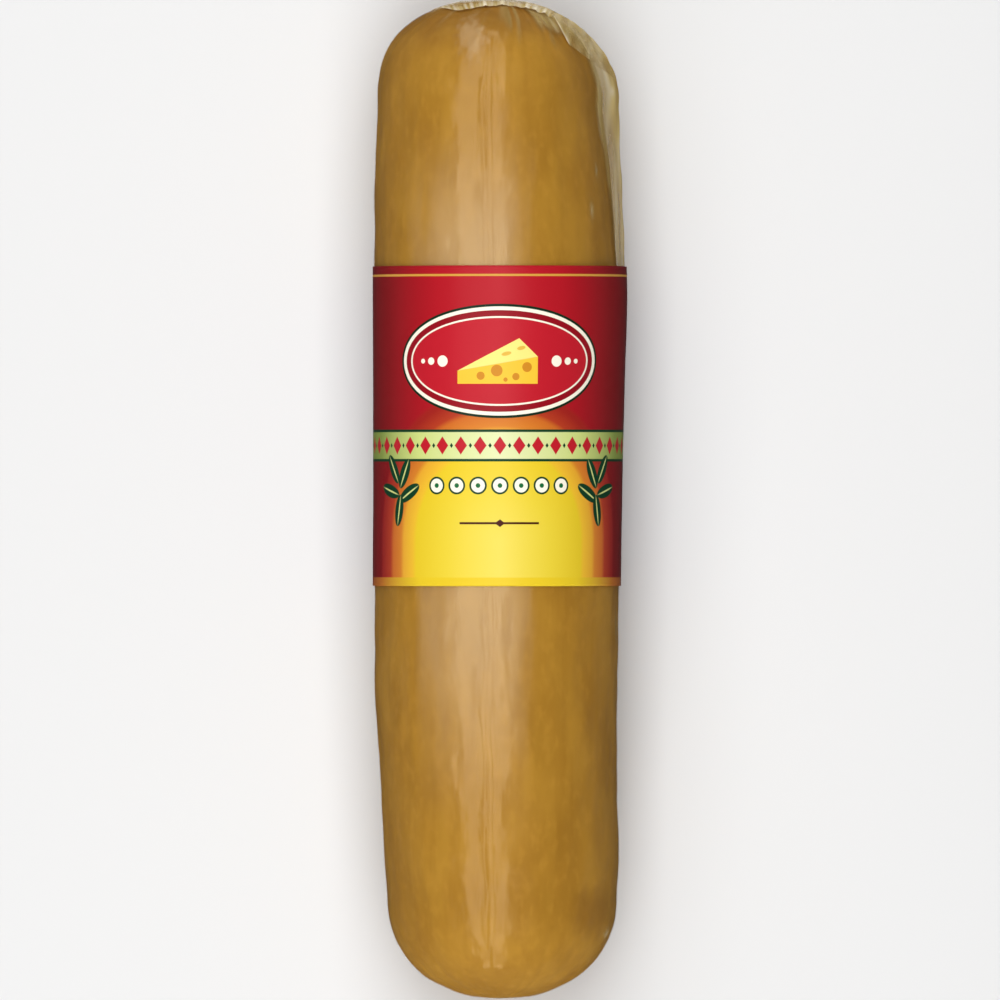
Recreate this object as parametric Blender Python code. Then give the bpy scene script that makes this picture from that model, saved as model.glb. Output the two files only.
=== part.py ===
"""A whole smoked provolone log in tight clear film, with a printed label sleeve.

The log lies on a surface with the front of its label facing up. +Y runs along it to
its blunter end, and +X is to the right of someone who looks down on it with +Y ahead.
The origin is on the surface, under the middle of the log. Lengths are in metres.
"""

import math

import bmesh
import bpy

# The wrapped log
LENGTH = 0.463
END_DEPTH = 0.0463  # length of each rounded end
BELLY_PRESS = 0.0012  # how much its weight flattens the round belly

# Stations along the log: distance from its middle, then how far its left and right
# sides reach from the centre line. The hand-formed barrel is a little uneven.
FLANKS = (
    (-0.1852, 0.0524, 0.0543),
    (-0.1667, 0.0539, 0.0553),
    (-0.1343, 0.0557, 0.0547),
    (-0.0926, 0.0581, 0.0547),
    (0.0, 0.0582, 0.0560),
    (0.0463, 0.0582, 0.0569),
    (0.0972, 0.0582, 0.0584),
    (0.1389, 0.0582, 0.0570),
    (0.1852, 0.0570, 0.0547),
)

# The power of each end's rounding, where 2 is an ellipse and more is squarer
NEAR_END = {"left": 2.15, "right": 2.15, "upright": 2.15}
FAR_END = {"left": 2.5, "right": 2.0, "upright": 2.25}

# The label sleeve
LABEL_START = -0.0398
LABEL_END = 0.1083
LABEL_THICKNESS = 0.0003
GAP = 0.0003  # clearance between the sleeve and the wrapped log

# The sleeve lies on the surface, which holds the log's flat belly just above it
BELLY_HEIGHT = GAP + LABEL_THICKNESS

# Facets
SIDES = 64
END_RINGS = 10
RING_SPACING = 0.022

CHEESE_COLOUR = (0.40, 0.20, 0.035, 1.0)
LABEL_COLOUR = (0.45, 0.02, 0.03, 1.0)


def reach(column, y):
    """Half width of the barrel at y: a smooth curve through one column of FLANKS."""
    places = [station[0] for station in FLANKS]
    values = [station[column] for station in FLANKS]
    y = min(max(y, places[0]), places[-1])
    first = max(i for i in range(len(places) - 1) if places[i] <= y)

    def slope(i):
        if i in (0, len(places) - 1):
            return 0.0
        return (values[i + 1] - values[i - 1]) / (places[i + 1] - places[i - 1])

    span = places[first + 1] - places[first]
    t = (y - places[first]) / span
    return (
        values[first] * (1 + 2 * t) * (1 - t) ** 2
        + slope(first) * span * t * (1 - t) ** 2
        + values[first + 1] * t**2 * (3 - 2 * t)
        + slope(first + 1) * span * t**2 * (t - 1)
    )


def end_narrowing(y, direction):
    """Share of the barrel's half size left at y: 1 along the barrel, 0 at a tip."""
    past_shoulder = abs(y) - (LENGTH / 2 - END_DEPTH)
    if past_shoulder <= 0:
        return 1.0
    power = (FAR_END if y > 0 else NEAR_END)[direction]
    depth = min(past_shoulder / END_DEPTH, 1.0)
    return (1 - depth**power) ** (1 / power)


def half_height(y):
    return (reach(1, y) + reach(2, y)) / 2


def centre_height(y):
    """Height of the log's centre line: its belly is straight, pressed in a little."""
    return half_height(y) + BELLY_HEIGHT - BELLY_PRESS


def section(y, grow):
    """One ring of points round the log at y, standing off its surface by grow."""
    left = reach(1, y) * end_narrowing(y, "left") + grow
    right = reach(2, y) * end_narrowing(y, "right") + grow
    upright = half_height(y) * end_narrowing(y, "upright") + grow

    ring = []
    for side in range(SIDES):
        angle = 2 * math.pi * side / SIDES
        x = (right if math.cos(angle) > 0 else left) * math.cos(angle)
        z = centre_height(y) + upright * math.sin(angle)
        ring.append((x, y, max(z, BELLY_HEIGHT - grow)))
    return ring


def ring_places():
    """Places along the log for its rings, close together towards the two tips."""
    shoulder = LENGTH / 2 - END_DEPTH
    knots = [-shoulder, LABEL_START, LABEL_END, shoulder]
    barrel = []
    for start, end in zip(knots, knots[1:]):
        steps = math.ceil((end - start) / RING_SPACING)
        barrel += [start + (end - start) * i / steps for i in range(steps)]
    barrel.append(shoulder)

    far_end = []
    for i in range(1, END_RINGS):
        far_end.append(shoulder + END_DEPTH * math.sin(math.pi / 2 * i / END_RINGS))
    near_end = [-y for y in reversed(far_end)]
    return near_end + barrel + far_end


def bridge_rings(bm, first, second):
    """Faces between two rings, facing out when the second is further along +Y."""
    for i in range(SIDES):
        j = (i + 1) % SIDES
        bm.faces.new((first[i], second[i], second[j], first[j]))


def close_tip(bm, ring, y):
    """A fan of faces from the last ring of an end to its tip at y."""
    tip = bm.verts.new((0.0, y, centre_height(y)))
    if y > 0:
        ring = ring[::-1]
    for i in range(SIDES):
        bm.faces.new((ring[i], ring[(i + 1) % SIDES], tip))


def finish_object(name, bm, colour, roughness):
    """Turn the bmesh into a smooth-shaded object with its own plain material."""
    mesh = bpy.data.meshes.new(name)
    bm.to_mesh(mesh)
    bm.free()
    mesh.shade_smooth()
    mesh.set_sharp_from_angle(angle=math.radians(40))

    material = bpy.data.materials.new(name)
    material.use_nodes = True
    shader = material.node_tree.nodes["Principled BSDF"]
    shader.inputs["Base Color"].default_value = colour
    shader.inputs["Roughness"].default_value = roughness
    shader.inputs["Metallic"].default_value = 0.0
    mesh.materials.append(material)

    obj = bpy.data.objects.new(name, mesh)
    bpy.context.scene.collection.objects.link(obj)
    return obj


def make_wrapped_cheese():
    """The cheese with its film on: one closed body from tip to tip."""
    bm = bmesh.new()
    rings = []
    for y in ring_places():
        rings.append([bm.verts.new(point) for point in section(y, grow=0.0)])
    for first, second in zip(rings, rings[1:]):
        bridge_rings(bm, first, second)

    close_tip(bm, rings[0], -LENGTH / 2)
    close_tip(bm, rings[-1], LENGTH / 2)
    return finish_object("wrapped_cheese", bm, CHEESE_COLOUR, roughness=0.35)


def make_label_sleeve():
    """The printed sleeve round the barrel: an inner and an outer skin, joined at both edges."""
    places = [y for y in ring_places() if LABEL_START <= y <= LABEL_END]
    bm = bmesh.new()
    inner = []
    outer = []
    for y in places:
        inner.append([bm.verts.new(point) for point in section(y, GAP)])
        outer.append([bm.verts.new(point) for point in section(y, GAP + LABEL_THICKNESS)])
    for i in range(len(places) - 1):
        bridge_rings(bm, outer[i], outer[i + 1])
        bridge_rings(bm, inner[i + 1], inner[i])
    bridge_rings(bm, inner[0], outer[0])
    bridge_rings(bm, outer[-1], inner[-1])
    return finish_object("label_sleeve", bm, LABEL_COLOUR, roughness=0.3)


def main():
    for obj in list(bpy.data.objects):
        bpy.data.objects.remove(obj, do_unlink=True)
    make_wrapped_cheese()
    make_label_sleeve()


main()
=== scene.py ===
"""Looks of a provolone log browned by smoke: its rind, clear film, end seals and printed label.

+Y runs along the log to its far, blunter end. Round the log, angles are measured from
straight up and grow towards +X. Lengths are in metres unless a name says otherwise.
"""

import math

import bmesh
import bpy
import numpy as np
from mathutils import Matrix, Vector, noise
from mathutils.bvhtree import BVHTree


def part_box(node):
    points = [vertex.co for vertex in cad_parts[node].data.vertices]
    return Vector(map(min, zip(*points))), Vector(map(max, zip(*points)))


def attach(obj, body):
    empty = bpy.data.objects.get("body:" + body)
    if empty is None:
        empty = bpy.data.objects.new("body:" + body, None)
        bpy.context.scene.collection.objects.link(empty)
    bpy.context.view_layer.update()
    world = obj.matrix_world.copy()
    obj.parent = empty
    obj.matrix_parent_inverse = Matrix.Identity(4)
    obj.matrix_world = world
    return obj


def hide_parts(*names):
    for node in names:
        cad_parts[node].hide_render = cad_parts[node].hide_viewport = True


MM = 0.001

# The outline of the wrapped log, as the CAD has it
FLANK_PLACES = MM * np.array([-185.2, -166.7, -134.3, -92.6, 0.0, 46.3, 97.2, 138.9, 185.2])
LEFT_REACH = MM * np.array([52.4, 53.9, 55.7, 58.1, 58.2, 58.2, 58.2, 58.2, 57.0])
RIGHT_REACH = MM * np.array([54.3, 55.3, 54.7, 54.7, 56.0, 56.9, 58.4, 57.0, 54.7])
END_DEPTH = 46.3 * MM
NEAR_POWERS = {"left": 2.15, "right": 2.15, "upright": 2.15}
FAR_POWERS = {"left": 2.5, "right": 2.0, "upright": 2.25}
BELLY_HEIGHT = 0.6 * MM
BELLY_PRESS = 1.2 * MM

# How the film stands off the cheese
FILM_GAP = 0.35 * MM

# The loose fold along the right side, from the label to the far end
FOLD_PLACES = MM * np.array([97, 108, 116, 135, 161, 180, 200])
FOLD_WIDTHS = MM * np.array([0.0, 3.5, 3.7, 4.1, 5.3, 7.2, 7.2])

# Small pinched spots in the film, each painted with a glint: place along the log, angle in degrees, half length, half
# width
PINCHES_AND_GLINTS = (
    (134.3, 53, 3.8, 1.5),
    (152.8, 60, 3.0, 1.1),
    (189.5, 84, 2.4, 2.0),
    (-200.9, 72, 2.2, 3.6),
    (-57.9, 77, 6.0, 1.4),
)

# A soft bulge on the front of the near half
BULGE_PLACE = -113 * MM
BULGE_ANGLE = math.radians(13)
BULGE_LENGTH = 17 * MM
BULGE_WIDTH = 8 * MM
BULGE_HEIGHT = 0.9 * MM

# Painted shade: a darker patch on the right shoulder of the near end
NEAR_SHADE_PLACE = (44 * MM, -191 * MM, 88 * MM)
NEAR_SHADE_SIZE = (14 * MM, 15 * MM, 26 * MM)

# Bits of the far seal that stand up, with painted glints of paler, milkier film, in degrees across it
SEAL_GLINTS = (-9, 1.5, 16, 21.5, 27)

# The crease along the front, a little left of the middle
CREASE_ANGLE = math.radians(-5.6)
CREASE_WIDTH = 2.0 * MM
CREASE_DEPTH = 0.28 * MM

# The label
LABEL_STANDOFF = 0.45 * MM
LABEL_THICKNESS = 0.12 * MM
SEAM_ANGLE = math.radians(150)
SEAM_OVERLAP = math.radians(11)


# Lights
WORLD = 0.05
WIDE = 20
NARROW = 12
ENDS = 25
PANEL = 2.6
FILL = 5
KEY = 45.8
FLOOR = 0.78


# ---------------------------------------------------------------- the log's surface


def smoothstep(low, high, value):
    t = np.clip((value - low) / (high - low), 0.0, 1.0)
    return t * t * (3 - 2 * t)


def spline(values, y):
    """Smooth curve through the flank stations, level at both ends, read at each y."""
    places = FLANK_PLACES
    slopes = np.zeros(len(places))
    slopes[1:-1] = (values[2:] - values[:-2]) / (places[2:] - places[:-2])
    y = np.clip(y, places[0], places[-1])
    i = np.clip(np.searchsorted(places, y, side="right") - 1, 0, len(places) - 2)
    span = places[i + 1] - places[i]
    t = (y - places[i]) / span
    return (
        values[i] * (1 + 2 * t) * (1 - t) ** 2
        + slopes[i] * span * t * (1 - t) ** 2
        + values[i + 1] * t**2 * (3 - 2 * t)
        + slopes[i + 1] * span * t**2 * (t - 1)
    )


def end_narrowing(y, direction):
    """Share of the barrel's half size left at y: 1 along the barrel, 0 at a tip."""
    past = np.clip((np.abs(y) - SHOULDER) / END_DEPTH, 0.0, 1.0)
    power = np.where(y > 0, FAR_POWERS[direction], NEAR_POWERS[direction])
    return (1 - past**power) ** (1 / power)


def centre_height(y):
    return (spline(LEFT_REACH, y) + spline(RIGHT_REACH, y)) / 2 + BELLY_HEIGHT - BELLY_PRESS


def fold_width(y):
    """How far the loose fold stands out of the cheese's right side at y."""
    return np.interp(y, FOLD_PLACES, FOLD_WIDTHS)


def cheese_surface(y, angle):
    """Points of the rind, before its fine relief."""
    left = spline(LEFT_REACH, y) * end_narrowing(y, "left")
    right = (spline(RIGHT_REACH, y) - fold_width(y)) * end_narrowing(y, "right")
    upright = (spline(LEFT_REACH, y) + spline(RIGHT_REACH, y)) / 2
    upright = upright * end_narrowing(y, "upright")
    x = np.where(np.sin(angle) > 0, right, left) * np.sin(angle)
    z = centre_height(y) + upright * np.cos(angle)
    return np.stack(np.broadcast_arrays(x, y, z), axis=-1)


def film_surface(y, angle, tautness=1.0):
    """Points of the film, before its fine relief.

    On the right the film runs straight from the cheese out to the crease of the loose
    fold and back, as a taut sheet does. Near the far tip it is simply round, and so is
    everything at a tautness of 0.
    """
    left = spline(LEFT_REACH, y) * end_narrowing(y, "left")
    outer = spline(RIGHT_REACH, y) * end_narrowing(y, "right")
    inner = outer * (1 - fold_width(y) / spline(RIGHT_REACH, y))
    upright = (spline(LEFT_REACH, y) + spline(RIGHT_REACH, y)) / 2
    upright = upright * end_narrowing(y, "upright")

    touching = inner / np.maximum(outer, 1e-9)
    touch_height = upright * np.sqrt(np.maximum(1 - touching**2, 1e-12))
    height = np.abs(upright * np.cos(angle))
    out_of_touch = np.clip(1 - height / touch_height, 0.0, 1.0)
    taut = inner * touching + (outer - inner * touching) * out_of_touch
    taut = np.where(height < touch_height, taut, inner * np.sin(angle))
    roundness = smoothstep(SHOULDER + 0.55 * END_DEPTH, SHOULDER + 0.95 * END_DEPTH, y)
    roundness = np.maximum(roundness, 1 - tautness)
    right = taut + (outer * np.sin(angle) - taut) * roundness

    x = np.where(np.sin(angle) > 0, right, left * np.sin(angle))
    z = centre_height(y) + upright * np.cos(angle)
    return np.stack(np.broadcast_arrays(x, y, z), axis=-1)


def surface_normals(points):
    """Outward unit normals of a grid of points that closes on itself round the log."""
    along = np.gradient(points, axis=0)
    around = np.roll(points, -1, axis=1) - np.roll(points, 1, axis=1)
    normals = np.cross(around, along)
    return normals / np.maximum(np.linalg.norm(normals, axis=-1, keepdims=True), 1e-12)


def press_on_floor(points, height):
    """Soften everything that reaches below height into a flat belly."""
    softness = 0.25 * MM
    above = np.clip((points[..., 2] - height) / softness, -50, 50)
    lifted = height + softness * np.log1p(np.exp(above))
    points[..., 2] = np.where(above > 20, points[..., 2], lifted)
    return points


def unevenness(points, across, along, seed):
    """Smooth noise from -1 to 1, with features this large across and along the log."""
    spots = points.reshape(-1, 3) / (across, along, across) + seed * 7.31
    values = [noise.noise(Vector(spot)) for spot in spots]
    return np.array(values).reshape(points.shape[:-1])


# ---------------------------------------------------------------- fine relief


def common_relief(points, angle):
    """Relief that cheese and film share: lumps, ripples, the front crease and gathers."""
    y = points[..., 1]
    lumps = 0.35 * MM * unevenness(points, 0.060, 0.080, seed=1)
    swell = 0.55 * MM * unevenness(points, 0.019, 0.034, seed=2)
    ripples = 0.27 * MM * unevenness(points, 0.007, 0.013, seed=3)
    ripples += 0.07 * MM * unevenness(points, 0.003, 0.007, seed=4)
    wander = 1.0 * MM * np.sin(y / 0.013) * np.cos(y / 0.031)
    offset = 0.058 * (angle - CREASE_ANGLE) + wander
    crease = -CREASE_DEPTH * np.clip(1 - np.abs(offset) / CREASE_WIDTH, 0.0, 1.0)
    barrel = 1 - smoothstep(0.5, 0.8, (np.abs(y) - SHOULDER) / END_DEPTH)
    gathers = np.where(y > 0, 0.9 * MM, 0.35 * MM) * gather_folds(y, angle)
    along = (y - BULGE_PLACE) / BULGE_LENGTH
    across = 0.057 * (angle - BULGE_ANGLE) / BULGE_WIDTH
    bulge = BULGE_HEIGHT * np.exp(-(along**2) - across**2)
    return lumps + swell + ripples + crease * barrel + gathers + bulge


def gather_folds(y, angle):
    """Height of the gathers that run out to both tips, uneven in width, from 0 to 1."""
    past = np.clip((np.abs(y) - SHOULDER) / END_DEPTH, 0.0, 1.0)
    spots = np.stack(np.broadcast_arrays(np.sin(angle) * 7, np.cos(angle) * 7, y / 0.03), axis=-1)
    folds = np.array([abs(noise.noise(Vector(spot))) for spot in spots.reshape(-1, 3)])
    fading = smoothstep(0.25, 0.8, past) * (1 - smoothstep(0.97, 1.0, past))
    return folds.reshape(spots.shape[:-1]) * fading


def fine_folds(y, angle):
    """Noise from -1 to 1 in fine streaks that run along the log and in to its tips."""
    spots = np.stack(np.broadcast_arrays(np.sin(angle) * 13, np.cos(angle) * 13, y / 0.03), axis=-1)
    return np.array([noise.noise(Vector(spot)) for spot in spots.reshape(-1, 3)]).reshape(spots.shape[:-1])


def pinches_and_glints(y, angle):
    """Strength of the film's small pinched spots and their painted glints, from 0 to 1."""
    strength = np.zeros(np.broadcast(y, angle).shape)
    for place, degrees, half_length, half_width in PINCHES_AND_GLINTS:
        along = (y / MM - place) / half_length
        across = (angle - math.radians(degrees)) * 57 / half_width
        strength = np.maximum(strength, np.exp(-(along**2) - across**2))
    return strength


def film_relief(points, angle):
    """What only the film does: crinkles on its loose fold, and small pinched spots."""
    y = points[..., 1]
    loose = fold_width(y) / FOLD_WIDTHS.max() * np.exp(-(((angle - math.pi / 2) / 0.45) ** 2))
    crinkles = 0.9 * MM * np.abs(unevenness(points, 0.005, 0.018, seed=5)) * loose
    return crinkles + 0.05 * MM * pinches_and_glints(y, angle)


# ---------------------------------------------------------------- meshes


def log_rows(end_count, barrel_count):
    """Places along the log, close together towards the two tips."""
    barrel = np.linspace(-SHOULDER, SHOULDER, barrel_count)
    past = END_DEPTH * np.sin(np.linspace(0, math.pi / 2, end_count + 1)[1:-1])
    rows = np.concatenate([-SHOULDER - past[::-1], barrel, SHOULDER + past])
    return rows[:, None]


def log_columns(count, extra):
    """Angles round the log, with extra ones where the front crease needs them."""
    even = np.linspace(-math.pi, math.pi, count, endpoint=False)
    close = CREASE_ANGLE + np.linspace(-0.05, 0.05, extra)
    apart = np.abs(even - CREASE_ANGLE) > 0.055
    return np.sort(np.concatenate([even[apart], close]))[None, :]


def tube_mesh(name, points, closed):
    """A mesh of quads through a grid of points, closed round the log if asked."""
    rows, columns = points.shape[:2]
    index = np.arange(rows * columns).reshape(rows, columns)
    across = np.roll(index, -1, axis=1) if closed else index[:, 1:]
    start = index if closed else index[:, :-1]
    quads = np.stack([start[:-1], across[:-1], across[1:], start[1:]], axis=-1)
    mesh = bpy.data.meshes.new(name)
    mesh.from_pydata(points.reshape(-1, 3).tolist(), [], quads.reshape(-1, 4).tolist())
    return mesh


def close_tips(mesh, rows, columns, inset):
    """Fans of triangles from the first and the last row to the log's two tips."""
    bm = bmesh.new()
    bm.from_mesh(mesh)
    near = bm.verts.new((0, inset - HALF_LENGTH, float(centre_height(np.array(-SHOULDER)))))
    far = bm.verts.new((0, HALF_LENGTH - inset, float(centre_height(np.array(SHOULDER)))))
    bm.verts.ensure_lookup_table()
    last = (rows - 1) * columns
    for i in range(columns):
        j = (i + 1) % columns
        bm.faces.new((bm.verts[j], bm.verts[i], near))
        bm.faces.new((bm.verts[last + i], bm.verts[last + j], far))
    bm.to_mesh(mesh)
    bm.free()


def place_piece(name, mesh, material, node):
    """Link a mesh as a smooth-shaded piece that stands for a CAD node."""
    mesh.shade_smooth()
    mesh.materials.append(material)
    piece = bpy.data.objects.new(name, mesh)
    bpy.context.scene.collection.objects.link(piece)
    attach(piece, "root")
    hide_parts(node)
    return piece


def make_cheese():
    rows = log_rows(44, 220)
    columns = log_columns(290, 16)
    points = cheese_surface(rows, columns)
    relief = common_relief(points, columns) - FILM_GAP
    points = points + surface_normals(points) * relief[..., None]
    points = press_on_floor(points, BELLY_HEIGHT + FILM_GAP)
    mesh = tube_mesh("cheese", points, closed=True)
    close_tips(mesh, *points.shape[:2], inset=FILM_GAP)
    return place_piece("cheese", mesh, rind_material(), "wrapped_cheese")


def make_film(cheese):
    """The film, whose haze grows with its distance from the cheese."""
    rows = log_rows(50, 200)
    columns = log_columns(288, 16)
    points = film_surface(rows, columns)
    relief = common_relief(points, columns) + film_relief(points, columns)
    points = points + surface_normals(points) * relief[..., None]
    points = press_on_floor(points, BELLY_HEIGHT)
    mesh = tube_mesh("film", points, closed=True)
    close_tips(mesh, *points.shape[:2], inset=0)

    standoff = distances(mesh, cheese)
    haze = 0.5 * smoothstep(0.6 * MM, 1.3 * MM, standoff)
    # Partly painted reflection: beyond the loose film's own milkiness, the fold's outer part is made milkier still to
    # stand in for its pale glancing reflection.
    haze += 0.35 * smoothstep(2.5 * MM, 6.5 * MM, standoff)
    creased = np.where(rows > 0, 0.5, 0.0) * smoothstep(0.2, 0.6, gather_folds(rows, columns))
    # Painted glints: the film is milkier and paler at its small pinched spots.
    creased = np.maximum(creased, 0.42 * pinches_and_glints(rows, columns))
    creased = np.append(creased.ravel(), [0.0, 0.0])
    paleness = 0.45 + 0.45 * fine_folds(rows, columns) + 0.25 * pinches_and_glints(rows, columns)
    paleness = np.append(paleness.ravel(), [0.5, 0.5])
    add_haze(mesh, np.maximum(haze, creased), paleness)
    return place_piece("film", mesh, film_material(), "wrapped_cheese")


def search_tree(piece):
    corners = [vertex.co for vertex in piece.data.vertices]
    faces = [polygon.vertices for polygon in piece.data.polygons]
    return BVHTree.FromPolygons(corners, faces)


def distances(mesh, piece):
    """How far each of the mesh's points is from a piece."""
    tree = search_tree(piece)
    return np.array([tree.find_nearest(vertex.co)[3] for vertex in mesh.vertices])


def add_haze(mesh, haze, paleness):
    """Store how milky the film is at each point, and how pale, for its material."""
    for name, values in (("haze", haze), ("paleness", paleness)):
        attribute = mesh.attributes.new(name, "FLOAT", "POINT")
        attribute.data.foreach_set("value", values)


def cast_from(tree, origin, direction):
    """Where a ray meets the film, and the film's outward normal there."""
    spot, normal, _, _ = tree.ray_cast(Vector(origin), Vector(direction).normalized())
    if normal.dot(Vector(direction)) < 0:
        normal = -normal
    return np.array(spot), np.array(normal)


def make_far_seal(film):
    """The heat-sealed fin across the far end, folded up against the film."""
    tree = search_tree(film)
    centre = Vector((0, SHOULDER, centre_height(np.array(SHOULDER))))
    across = np.linspace(-38, 34, 170)
    up = np.linspace(0, 1, 150)
    points = np.empty((len(up), len(across), 3))
    haze = np.empty(points.shape[:2])
    paleness = np.empty(points.shape[:2])
    for j, turn in enumerate(across):
        taper = smoothstep(-39, -24, turn) * (1 - smoothstep(31, 34.5, turn))
        glint = max(math.exp(-(((turn - place) / 1.1) ** 2)) for place in SEAL_GLINTS)
        for i, share in enumerate(up):
            rise = math.radians(-2 + (3 + 28 * taper) * share)
            aside = math.radians(turn)
            direction = Vector((math.tan(aside), 1, math.tan(rise) / math.cos(aside)))
            spot, normal = cast_from(tree, centre, direction)
            wave = abs(noise.noise(Vector((turn / 3.5, share * 1.7, 0.3))))
            rib = 0.06 * math.sin(share * 110) * smoothstep(0.1, 0.2, share)
            loose = taper * share**2
            lift = (0.15 + 0.15 * taper + (1.0 * wave + 0.5 * glint) * loose + rib) * MM
            points[i, j] = spot + normal * lift
            # Painted glints: the seal is milkier and paler at each of SEAL_GLINTS.
            haze[i, j] = 0.22 + 0.4 * smoothstep(0.4, 1, share) + 0.35 * glint * loose
            crimp = noise.noise(Vector((turn / 1.6, share * 0.8, 5.0)))
            paleness[i, j] = 0.7 + 0.6 * crimp + 0.3 * glint
    mesh = tube_mesh("far_seal", points, closed=False)
    mesh.flip_normals()
    add_haze(mesh, haze.ravel(), paleness.ravel())
    place_piece("far_seal", mesh, film_material(), "wrapped_cheese")


def thicken(piece, thickness):
    solid = piece.modifiers.new("thickness", "SOLIDIFY")
    solid.thickness = thickness
    solid.offset = 1.0


def film_silhouette(y):
    """How far right the film reaches at y."""
    return spline(RIGHT_REACH, y) * end_narrowing(y, "right")


def make_ear(film):
    """The film's corner at the far right, folded over onto the shoulder."""
    tree = search_tree(film)
    corners = MM * np.array([(24.9, 224.0), (31.8, 210.7), (49.6, 198.0)])
    lengths = np.array([0.0, 0.42, 1.0])
    along = np.linspace(0, 1, 90)
    inner_x = np.interp(along, lengths, corners[:, 0])
    inner_y = np.interp(along, lengths, corners[:, 1])
    outer_y = MM * (227.0 - 31.5 * along**1.25)
    outer_x = film_silhouette(outer_y) - 0.35 * MM
    outward = 1 - (1 - np.linspace(0, 1, 50)) ** 1.8
    points = np.empty((len(outward), len(along), 3))
    haze = np.empty(points.shape[:2])
    paleness = np.empty(points.shape[:2])
    for i, share in enumerate(outward):
        for j in range(len(along)):
            x = inner_x[j] + (outer_x[j] - inner_x[j]) * share
            y = inner_y[j] + (outer_y[j] - inner_y[j]) * share
            spot, normal = cast_from(tree, (x, y, 0.3), (0, 0, -1))
            normal = -normal if normal[2] < 0 else normal
            wave = noise.noise(Vector((x / 0.004, y / 0.009, 3.1)))
            points[i, j] = spot + normal * (0.25 + 0.7 * abs(wave) * min(1, 6 * share)) * MM
            # Painted highlight: milkier, paler film along the fold's edge.
            fold_highlight = (1 - share) ** 10 * (1 - smoothstep(0.35, 0.5, along[j]))
            haze[i, j] = 0.36 + 0.14 * share + 0.5 * fold_highlight
            streak = noise.noise(Vector((x / 0.003, y / 0.012, 7.7)))
            paleness[i, j] = 0.5 + 0.4 * streak + 0.5 * fold_highlight
    mesh = tube_mesh("folded_corner", points, closed=False)
    add_haze(mesh, haze.ravel(), paleness.ravel())
    place_piece("folded_corner", mesh, film_material(), "wrapped_cheese")


def make_label():
    """The printed sheet, wrapped once round the log with its two ends overlapping."""
    rows = np.linspace(LABEL_START, LABEL_END, 120)[:, None]
    columns = np.linspace(SEAM_ANGLE - math.tau - SEAM_OVERLAP, SEAM_ANGLE, 300)[None, :]
    wrapped = (columns + math.pi) % math.tau - math.pi
    points = film_surface(rows, wrapped, tautness=0.4)
    normals = np.cross(np.gradient(points, axis=1), np.gradient(points, axis=0))
    normals /= np.linalg.norm(normals, axis=-1, keepdims=True)
    lumps = 0.35 * MM * unevenness(points, 0.060, 0.080, seed=1)
    swell = 0.10 * MM * unevenness(points, 0.022, 0.036, seed=2)
    tucked = 1 - smoothstep(0.0, 2 * SEAM_OVERLAP, columns - columns.min())
    standoff = LABEL_STANDOFF + 0.15 * MM * (1 - tucked) + lumps + swell
    points = press_on_floor(points + normals * standoff[..., None], LABEL_THICKNESS)

    mesh = tube_mesh("label", points, closed=False)
    add_print_coordinates(mesh, rows, columns)
    piece = place_piece("label", mesh, label_material(), "label_sleeve")
    thicken(piece, LABEL_THICKNESS)
    return piece


def add_print_coordinates(mesh, rows, columns):
    """A UV map in metres: round the log from the front's middle, up from the lower edge."""
    around = np.broadcast_to(columns * PRINT_RADIUS, (len(rows), columns.shape[1]))
    upward = np.broadcast_to(rows - LABEL_START, around.shape)
    places = np.stack([around, upward], axis=-1).reshape(-1, 2)
    corners = np.empty(len(mesh.loops), dtype=np.int32)
    mesh.loops.foreach_get("vertex_index", corners)
    layer = mesh.uv_layers.new(name="Print")
    layer.data.foreach_set("uv", places[corners].ravel())


# ---------------------------------------------------------------- materials


def srgb(red, green, blue):
    """A colour given as screen values, for Blender's linear sockets."""
    linear = []
    for value in (red, green, blue):
        value /= 255
        linear.append(value / 12.92 if value <= 0.04045 else ((value + 0.055) / 1.055) ** 2.4)
    return (*linear, 1.0)


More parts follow.
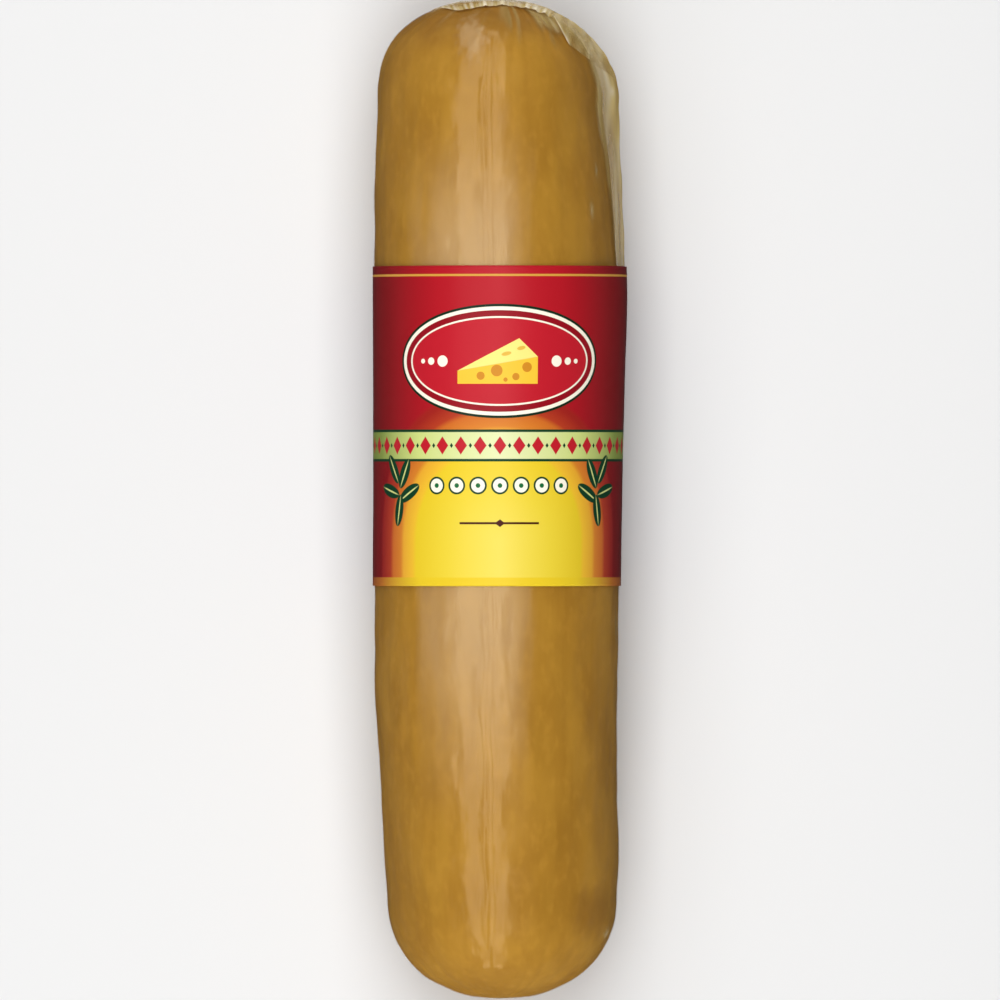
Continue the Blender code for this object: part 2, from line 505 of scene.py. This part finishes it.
class Nodes:
    """Short calls for building one material's node tree."""

    def __init__(self, name):
        self.material = bpy.data.materials.new(name)
        self.material.use_nodes = True
        self.tree = self.material.node_tree
        self.tree.nodes.clear()
        self.output = self.tree.nodes.new("ShaderNodeOutputMaterial")

    def add(self, kind, inputs=None, **settings):
        node = self.tree.nodes.new(kind)
        for name, value in settings.items():
            setattr(node, name, value)
        for key, value in (inputs or {}).items():
            if isinstance(value, bpy.types.NodeSocket):
                self.tree.links.new(value, node.inputs[key])
            else:
                node.inputs[key].default_value = value
        return node

    def math(self, operation, *values, clamp=False):
        inputs = dict(enumerate(values))
        node = self.add("ShaderNodeMath", inputs, operation=operation, use_clamp=clamp)
        return node.outputs[0]

    def noise(self, place, scale, detail=2.0, roughness=0.5):
        inputs = {"Vector": place, "Scale": scale, "Detail": detail, "Roughness": roughness}
        return self.add("ShaderNodeTexNoise", inputs).outputs["Fac"]

    def stretch(self, place, scale, turn=0.0):
        inputs = {"Vector": place, "Scale": scale, "Rotation": (0, 0, turn)}
        return self.add("ShaderNodeMapping", inputs).outputs[0]

    def ramp(self, value, stops, interpolation="LINEAR"):
        node = self.add("ShaderNodeValToRGB", {"Fac": value})
        ramp = node.color_ramp
        ramp.interpolation = interpolation
        while len(ramp.elements) < len(stops):
            ramp.elements.new(0.5)
        for element, (position, colour) in zip(ramp.elements, stops):
            element.position = position
            element.color = colour
        return node.outputs["Color"]

    def rise(self, value, low, high, to_low=0.0, to_high=1.0):
        inputs = {0: value, 1: low, 2: high, 3: to_low, 4: to_high}
        node = self.add("ShaderNodeMapRange", inputs, interpolation_type="SMOOTHSTEP")
        return node.outputs[0]

    def glancing(self, head_on, edge_on):
        """How much light a clear coat throws back, from head on to edge on."""
        facing = self.add("ShaderNodeLayerWeight", {"Blend": 0.5}).outputs["Facing"]
        fifth = self.math("POWER", facing, 5.0)
        return self.math("MULTIPLY_ADD", fifth, edge_on - head_on, head_on)

    def mix(self, amount, first, second, blend="MIX"):
        node = self.add("ShaderNodeMix", data_type="RGBA", blend_type=blend)
        for socket, value in ((0, amount), (6, first), (7, second)):
            if isinstance(value, bpy.types.NodeSocket):
                self.tree.links.new(value, node.inputs[socket])
            else:
                node.inputs[socket].default_value = value
        return node.outputs[2]

    def finish(self, shader):
        self.tree.links.new(shader, self.output.inputs["Surface"])
        return self.material


def rind_material():
    """Smoke-browned rind: golden brown, mottled, with faint streaks along the log, and painted shade: darker brown at
    the far tip and in a patch on the near end's right shoulder.
    """
    n = Nodes("rind")
    place = n.add("ShaderNodeTexCoord").outputs["Object"]
    patches = n.noise(n.stretch(place, (1, 0.5, 1)), 55, detail=4)
    tones = [(0.36, srgb(178, 131, 44)), (0.5, srgb(172, 125, 41)), (0.64, srgb(166, 119, 38))]
    colour = n.ramp(patches, tones)
    streaks = n.noise(n.stretch(place, (1, 0.10, 1)), 150, detail=3)
    colour = n.mix(n.rise(streaks, 0.45, 0.72, 0.0, 0.24), colour, srgb(150, 102, 26))
    mottle = n.noise(n.stretch(place, (1, 0.6, 1)), 260, detail=3)
    colour = n.mix(n.rise(mottle, 0.45, 0.75, 0.0, 0.28), colour, srgb(195, 145, 54))
    # Painted shade: darker brown towards the far tip, ragged at its edge, under the folded seal.
    along = n.add("ShaderNodeSeparateXYZ", {0: place}).outputs["Y"]
    ragged = n.math("MULTIPLY_ADD", n.noise(place, 70, detail=3), 0.022, along)
    end = HALF_LENGTH
    far_tip_shade = n.rise(ragged, end - 0.012, end + 0.003, 0.0, 0.55)
    colour = n.mix(far_tip_shade, colour, srgb(136, 90, 30))
    # Painted shade: a darker patch on the near end's right shoulder.
    inputs = {"Vector": place, "Location": NEAR_SHADE_PLACE, "Scale": NEAR_SHADE_SIZE}
    local = n.add("ShaderNodeMapping", inputs, vector_type="TEXTURE").outputs[0]
    off = n.add("ShaderNodeVectorMath", {0: local}, operation="LENGTH").outputs["Value"]
    off = n.math("MULTIPLY_ADD", n.noise(place, 120, detail=3), 0.8, off)
    colour = n.mix(n.rise(off, 1.5, 0.7, 0.0, 0.5), colour, srgb(136, 90, 30))
    grain = n.noise(place, 900, detail=2)
    bump = n.add("ShaderNodeBump", {"Height": grain, "Strength": 0.12, "Distance": 0.0002})
    shader = n.add(
        "ShaderNodeBsdfPrincipled",
        {
            "Base Color": colour,
            "Roughness": n.rise(patches, 0.3, 0.7, 0.50, 0.44),
            "Specular IOR Level": 0.15,
            "Normal": bump.outputs[0],
        },
    )
    return n.finish(shader.outputs[0])


def painted_film_sheen(n, place):
    """Painted sheen on the film's front: a mask for a warm pale patch beside the label and one at the far shoulder,
    where the highlight lies.
    """
    split = n.add("ShaderNodeSeparateXYZ", {0: place})
    beyond_far = n.math("SUBTRACT", split.outputs["Y"], LABEL_END)
    beyond_near = n.math("SUBTRACT", LABEL_START, split.outputs["Y"])
    sideways = n.math("ABSOLUTE", n.math("ADD", split.outputs["X"], 0.011))
    streaks = n.noise(n.stretch(place, (1, 0.12, 1)), 90, detail=2)
    sideways = n.math("ADD", sideways, n.rise(streaks, 0.35, 0.65, -0.004, 0.004))
    far_sheen = n.rise(beyond_far, 0.075, 0.0, 0.0, 0.29)
    near_sheen = n.rise(beyond_near, 0.120, 0.0, 0.0, 0.30)
    beside_label = n.math("MINIMUM", far_sheen, near_sheen)
    front = n.math("MULTIPLY", n.rise(sideways, 0.034, 0.008), n.rise(split.outputs["Z"], 0.06, 0.08))
    sheen = n.math("MULTIPLY", beside_label, front)

    # Painted highlight: a pale patch at the far shoulder, where the long highlight runs out.
    inputs = {"Vector": place, "Location": (-0.013, 0.214, 0.100), "Scale": (0.008, 0.014, 0.03)}
    local = n.add("ShaderNodeMapping", inputs, vector_type="TEXTURE").outputs[0]
    off = n.add("ShaderNodeVectorMath", {0: local}, operation="LENGTH").outputs["Value"]
    off = n.math("MULTIPLY_ADD", n.noise(n.stretch(place, (1, 0.3, 1)), 300, detail=3), 1.6, off)
    shoulder = n.rise(off, 1.9, 1.0, 0.0, 0.24)
    return n.math("MAXIMUM", sheen, shoulder)


def film_material():
    """Clear film: see-through under a gloss, and milky where it is loose or doubled, with a painted sheen beside the
    label and at the far shoulder.
    """
    if "clear_film" in bpy.data.materials:
        return bpy.data.materials["clear_film"]
    n = Nodes("clear_film")
    place = n.add("ShaderNodeTexCoord").outputs["Object"]
    haze = n.add("ShaderNodeAttribute", attribute_name="haze").outputs["Fac"]
    paleness = n.add("ShaderNodeAttribute", attribute_name="paleness").outputs["Fac"]
    tints = [(0.1, srgb(166, 130, 60)), (0.5, srgb(216, 192, 126)), (1.0, srgb(252, 240, 210))]
    tint = n.ramp(paleness, tints)
    fine = n.noise(n.stretch(place, (1, 0.5, 1)), 180, detail=3)
    bump = n.add("ShaderNodeBump", {"Height": fine, "Strength": 0.5, "Distance": 0.0004})

    clear = n.add("ShaderNodeBsdfTransparent")
    milky = n.add("ShaderNodeBsdfDiffuse", {"Color": tint})
    body = n.add("ShaderNodeMixShader", {0: haze, 1: clear.outputs[0], 2: milky.outputs[0]})
    # Painted sheen: a warm pale diffuse layer mixed into the film's front.
    painted_sheen = n.add("ShaderNodeBsdfDiffuse", {"Color": srgb(246, 214, 164)})
    inputs = {0: painted_film_sheen(n, place), 1: body.outputs[0], 2: painted_sheen.outputs[0]}
    body = n.add("ShaderNodeMixShader", inputs)

    uneven = n.rise(n.noise(n.stretch(place, (1, 0.5, 1)), 160, detail=3), 0.35, 0.65, 0.13, 0.24)
    inputs = {"Color": srgb(255, 230, 188), "Roughness": uneven, "Normal": bump.outputs[0]}
    shine = n.add("ShaderNodeBsdfGlossy", inputs)
    gloss = n.glancing(0.07, 0.14)
    coat = n.add("ShaderNodeMixShader", {0: gloss, 1: body.outputs[0], 2: shine.outputs[0]})
    return n.finish(coat.outputs[0])


# ---------------------------------------------------------------- the label's print


class Print(Nodes):
    """A flat design in millimetres, painted one shape over another."""

    def __init__(self, name):
        super().__init__(name)
        metres = self.add("ShaderNodeUVMap", uv_map="Print").outputs[0]
        self.place = self.stretch(metres, (1000, 1000, 1))
        split = self.add("ShaderNodeSeparateXYZ", {0: self.place})
        self.across = split.outputs["X"]
        self.up = split.outputs["Y"]
        self.side = self.math("ABSOLUTE", self.across)
        joined = self.add("ShaderNodeCombineXYZ", {0: self.side, 1: self.up})
        self.mirrored = joined.outputs[0]
        self.colour = None

    def paint(self, mask, colour):
        self.colour = self.mix(mask, self.colour, colour)

    def oval(self, centre, radii, turn=0.0, mirrored=False):
        """Distance from an oval's centre, 1 on its edge."""
        inputs = {
            "Vector": self.mirrored if mirrored else self.place,
            "Location": (*centre, 0),
            "Rotation": (0, 0, math.radians(turn)),
            "Scale": (*radii, 1),
        }
        local = self.add("ShaderNodeMapping", inputs, vector_type="TEXTURE").outputs[0]
        return self.add("ShaderNodeVectorMath", {0: local}, operation="LENGTH").outputs["Value"]

    def fill_oval(self, centre, radii, colour, turn=0.0, mirrored=False):
        blur = 0.12 / min(radii)
        distance = self.oval(centre, radii, turn, mirrored)
        self.paint(self.rise(distance, 1 + blur, 1 - blur), colour)

    def fill_band(self, low, high, colour):
        """A stripe round the whole sleeve between two heights."""
        middle, half = (low + high) / 2, (high - low) / 2
        off = self.math("ABSOLUTE", self.math("SUBTRACT", self.up, middle))
        self.paint(self.rise(off, half + 0.12, half - 0.12), colour)

    def polygon(self, corners):
        """Signed distance to a convex outline, its corners given anticlockwise."""
        distance = None
        for (x0, y0), (x1, y1) in zip(corners, corners[1:] + corners[:1]):
            length = math.hypot(x1 - x0, y1 - y0)
            outward = ((y1 - y0) / length, (x0 - x1) / length, 0)
            inputs = {0: self.place, 1: outward}
            reach = self.add("ShaderNodeVectorMath", inputs, operation="DOT_PRODUCT")
            level = outward[0] * x0 + outward[1] * y0
            past = self.math("SUBTRACT", reach.outputs["Value"], level)
            distance = past if distance is None else self.math("MAXIMUM", distance, past)
        return distance

    def fill_polygon(self, corners, colour):
        self.paint(self.rise(self.polygon(corners), 0.12, -0.12), colour)

    def repeated(self, pitch, shift=0.0):
        """Distance across from the nearest of a row of centres."""
        turns = self.math("MULTIPLY_ADD", self.across, 1 / pitch, 0.5 + shift)
        part = self.math("SUBTRACT", self.math("FRACT", turns), 0.5)
        return self.math("MULTIPLY", self.math("ABSOLUTE", part), pitch)

    def lozenge_row(self, height, pitch, half_width, half_height, colour, shift=0.0):
        off = self.math("ABSOLUTE", self.math("SUBTRACT", self.up, height))
        slant = self.math("MULTIPLY", self.repeated(pitch, shift), 1 / half_width)
        total = self.math("MULTIPLY_ADD", off, 1 / half_height, slant)
        self.paint(self.rise(total, 1.05, 0.95), colour)

    def disc_row(self, height, pitch, radius, colour, half_span):
        off = self.math("SUBTRACT", self.up, height)
        spot = self.add("ShaderNodeCombineXYZ", {0: self.repeated(pitch), 1: off}).outputs[0]
        length = self.add("ShaderNodeVectorMath", {0: spot}, operation="LENGTH").outputs["Value"]
        inside = self.rise(length, radius + 0.12, radius - 0.12)
        near = self.math("LESS_THAN", self.side, half_span)
        self.paint(self.math("MULTIPLY", inside, near), colour)


CREAM = srgb(252, 246, 226)
DARK_GREEN = srgb(12, 62, 38)
DEEP_GREEN = srgb(10, 42, 26)
LIME = srgb(215, 221, 137)
DEEP_RED = srgb(146, 16, 30)
BRIGHT_RED = srgb(190, 30, 44)


def paint_ground(p):
    """Red, with painted shade that deepens it round the sides, and stepped golden arches rising from below."""
    # Painted shade: the red deepens with distance round from the front.
    sides = [(0.0, srgb(182, 28, 40)), (0.30, srgb(178, 25, 37)), (0.62, srgb(138, 17, 24)), (0.9, srgb(118, 13, 19))]
    p.colour = p.ramp(p.math("MULTIPLY", p.side, 0.01), sides)

    spring_line = 20
    above = p.math("MAXIMUM", p.math("SUBTRACT", p.up, spring_line), 0.0)
    wide = p.math("POWER", p.math("MULTIPLY", p.side, 1 / 74), 2.0)
    tall = p.math("POWER", p.math("MULTIPLY", above, 1 / 76), 2.0)
    arch = p.math("SQRT", p.math("ADD", wide, tall))
    steps = [
        (0.00, srgb(235, 214, 88)),
        (0.34, srgb(233, 207, 60)),
        (0.57, srgb(232, 200, 42)),
        (0.60, srgb(238, 188, 50)),
        (0.68, srgb(231, 168, 48)),
        (0.71, srgb(214, 128, 42)),
        (0.79, srgb(203, 106, 38)),
        (0.82, srgb(178, 60, 34)),
        (0.91, srgb(158, 36, 30)),
    ]
    golden = p.ramp(arch, steps)
    p.paint(p.rise(arch, 0.96, 0.92), golden)


def paint_medallion(p):
    """An oval shield of red in cream rings, with a wedge of cheese in the middle."""
    centre = (0, 104)
    for radii, colour in (
        ((51.2, 26.4), DEEP_GREEN),
        ((50.0, 25.2), CREAM),
        ((48.2, 23.5), DEEP_RED),
        ((45.2, 20.7), CREAM),
        ((44.3, 19.9), BRIGHT_RED),
    ):
        p.fill_oval(centre, radii, colour)
    for x, radius in ((27.5, 2.6), (33.5, 1.7), (38.0, 1.1)):
        p.fill_oval((x, 104), (radius, radius), CREAM, mirrored=True)

    side_face = [(-20, 93.5), (18, 93.5), (18, 106), (-20, 99.5)]
    top_face = [(-20, 99.5), (18, 106), (9, 114.5)]
    p.fill_polygon(side_face, srgb(244, 196, 58))
    p.fill_polygon(top_face, srgb(253, 230, 128))
    for x, y, radius in ((-9, 97.2, 1.9), (-1.5, 99.6, 2.7), (7.5, 96.8, 1.7), (12.8, 101.2, 2.3), (2.6, 95.4, 1.0)):
        p.fill_oval((x, y), (radius, radius), srgb(206, 136, 34))
    for x, y, wide, tall in ((3.0, 107.4, 2.3, 0.9), (10.0, 110.0, 2.0, 0.9)):
        p.fill_oval((x, y), (wide, tall), srgb(226, 180, 70), turn=12)


def paint_bands(p):
    """A lime stripe with green edges and red lozenges, and a row of discs below it."""
    p.fill_band(57.6, 72.4, DARK_GREEN)
    # Painted shade: the lime darkens round the sides.
    lime = [(0.0, srgb(224, 229, 176)), (0.4, srgb(206, 218, 130)), (0.7, srgb(140, 160, 74))]
    p.fill_band(58.8, 71.2, p.ramp(p.math("MULTIPLY", p.side, 0.01), lime))
    p.lozenge_row(65, 9.2, 3.0, 4.2, BRIGHT_RED)
    p.lozenge_row(65, 9.2, 0.8, 1.2, DARK_GREEN, shift=0.5)
    p.disc_row(46.5, 10.2, 4.1, DARK_GREEN, 35)
    p.disc_row(46.5, 10.2, 3.2, CREAM, 35)
    p.disc_row(46.5, 10.2, 1.1, srgb(24, 104, 56), 35)


def paint_leaves(p):
    """A sprig of leaves at each side of the arches."""
    for x, y, turn in ((47, 43, 150), (50, 52, 115), (58, 54, 60), (61, 44, 15), (54, 35, -80)):
        p.fill_oval((x, y), (7.4, 3.0), DARK_GREEN, turn, mirrored=True)
        p.fill_oval((x, y), (6.4, 0.4), LIME, turn, mirrored=True)


def label_material():
    p = Print("label_print")
    paint_ground(p)
    paint_medallion(p)
    paint_bands(p)
    paint_leaves(p)
    p.fill_band(143.2, 144.2, srgb(214, 160, 66))
    # Painted shade: the gold band at the lower edge darkens round the sides.
    gold = [(0.4, srgb(232, 200, 42)), (0.7, srgb(190, 110, 36)), (1.0, srgb(140, 50, 26))]
    p.fill_band(-1.0, 4.0, p.ramp(p.math("MULTIPLY", p.side, 0.01), gold))
    p.fill_polygon([(-19, 28.6), (19, 28.6), (19, 29.6), (-19, 29.6)], srgb(70, 24, 16))
    p.fill_polygon([(-2.4, 29.1), (0, 27.3), (2.4, 29.1), (0, 30.9)], srgb(70, 24, 16))
    shader = p.add(
        "ShaderNodeBsdfPrincipled",
        {"Base Color": p.colour, "Roughness": 0.32, "Specular IOR Level": 0.22},
    )
    return p.finish(shader.outputs[0])


# ---------------------------------------------------------------- studio


def softbox(name, place, size, power, colour=(1, 1, 1)):
    """A rectangular light that faces the log: overhead ones lie along it, others stand."""
    data = bpy.data.lights.new(name, "AREA")
    data.shape = "RECTANGLE"
    data.size, data.size_y = size
    data.energy = power
    data.color = colour
    light = bpy.data.objects.new(name, data)
    bpy.context.scene.collection.objects.link(light)
    light.location = place
    x, y, z = place
    if y == 0:
        light.rotation_euler = (0, math.atan2(x, z), 0)
    else:
        light.rotation_euler = (-math.radians(90) if y > 0 else math.radians(90), 0, 0)
    return light


def make_studio():
    """Two overhead strips that the film reflects, lights at the ends and a soft key."""
    scene = bpy.context.scene
    scene.view_settings.view_transform = "Standard"
    world = bpy.data.worlds.new("studio")
    world.use_nodes = True
    background = world.node_tree.nodes["Background"]
    background.inputs["Color"].default_value = (1.0, 0.98, 0.95, 1.0)
    background.inputs["Strength"].default_value = WORLD
    scene.world = world

    for name, place, size, power in (
        ("wide_strip", (-0.67, 0, 1.35), (0.58, 8.0), WIDE),
        ("narrow_strip", (-0.05, 0, 1.5), (0.34, 8.0), NARROW),
        ("far_panel", (-0.22, 3.0, 0.5), (0.55, 1.0), PANEL),
        ("near_panel", (-0.22, -3.0, 0.5), (0.55, 1.0), PANEL),
    ):
        softbox(name, place, size, power).visible_diffuse = False
    for name, place, size, power in (
        ("key", (0.03, 0, 1.8), (1.2, 4.0), KEY),
        ("fill", (-0.66, 0, 1.35), (0.6, 4.0), FILL),
        ("far_fill", (-0.35, 2.5, 0.75), (0.9, 1.4), ENDS),
        ("near_fill", (-0.35, -2.5, 0.75), (0.9, 1.4), 1.25 * ENDS),
    ):
        softbox(name, place, size, power).visible_glossy = False

    mesh = bpy.data.meshes.new("floor")
    bm = bmesh.new()
    bmesh.ops.create_grid(bm, x_segments=1, y_segments=1, size=30)
    bm.to_mesh(mesh)
    bm.free()
    floor = bpy.data.objects.new("floor", mesh)
    scene.collection.objects.link(floor)
    floor.visible_glossy = False
    material = bpy.data.materials.new("floor")
    material.use_nodes = True
    shader = material.node_tree.nodes["Principled BSDF"]
    shader.inputs["Base Color"].default_value = (FLOOR, FLOOR, FLOOR, 1.0)
    shader.inputs["Roughness"].default_value = 0.9
    shader.inputs["Specular IOR Level"].default_value = 0.1
    mesh.materials.append(material)


def make_camera():
    """A far, long-lens camera straight above, which the log fills from edge to edge."""
    data = bpy.data.cameras.new("camera")
    data.sensor_width = 36
    height = 12.0
    middle = float(centre_height(np.array(0.0)))
    data.lens = data.sensor_width * (height - middle) / (2 * HALF_LENGTH * 1.002)
    data.clip_end = 100
    camera = bpy.data.objects.new("camera", data)
    camera.location = (0, 0, height)
    bpy.context.scene.collection.objects.link(camera)
    bpy.context.scene.camera = camera


# ---------------------------------------------------------------- the whole

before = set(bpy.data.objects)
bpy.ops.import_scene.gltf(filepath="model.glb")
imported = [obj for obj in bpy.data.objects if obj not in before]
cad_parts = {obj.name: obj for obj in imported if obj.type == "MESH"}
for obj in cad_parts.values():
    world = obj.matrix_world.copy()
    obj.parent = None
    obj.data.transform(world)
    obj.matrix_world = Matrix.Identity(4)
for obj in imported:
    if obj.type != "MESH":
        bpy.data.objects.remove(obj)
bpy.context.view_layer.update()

log_low, log_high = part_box("wrapped_cheese")
label_low, label_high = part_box("label_sleeve")
HALF_LENGTH = (log_high[1] - log_low[1]) / 2
SHOULDER = HALF_LENGTH - END_DEPTH
LABEL_START = label_low[1]
LABEL_END = label_high[1]
PRINT_RADIUS = (label_high[0] - label_low[0]) / 2

cheese = make_cheese()
film = make_film(cheese)
make_far_seal(film)
make_ear(film)
make_label()
make_studio()
make_camera()
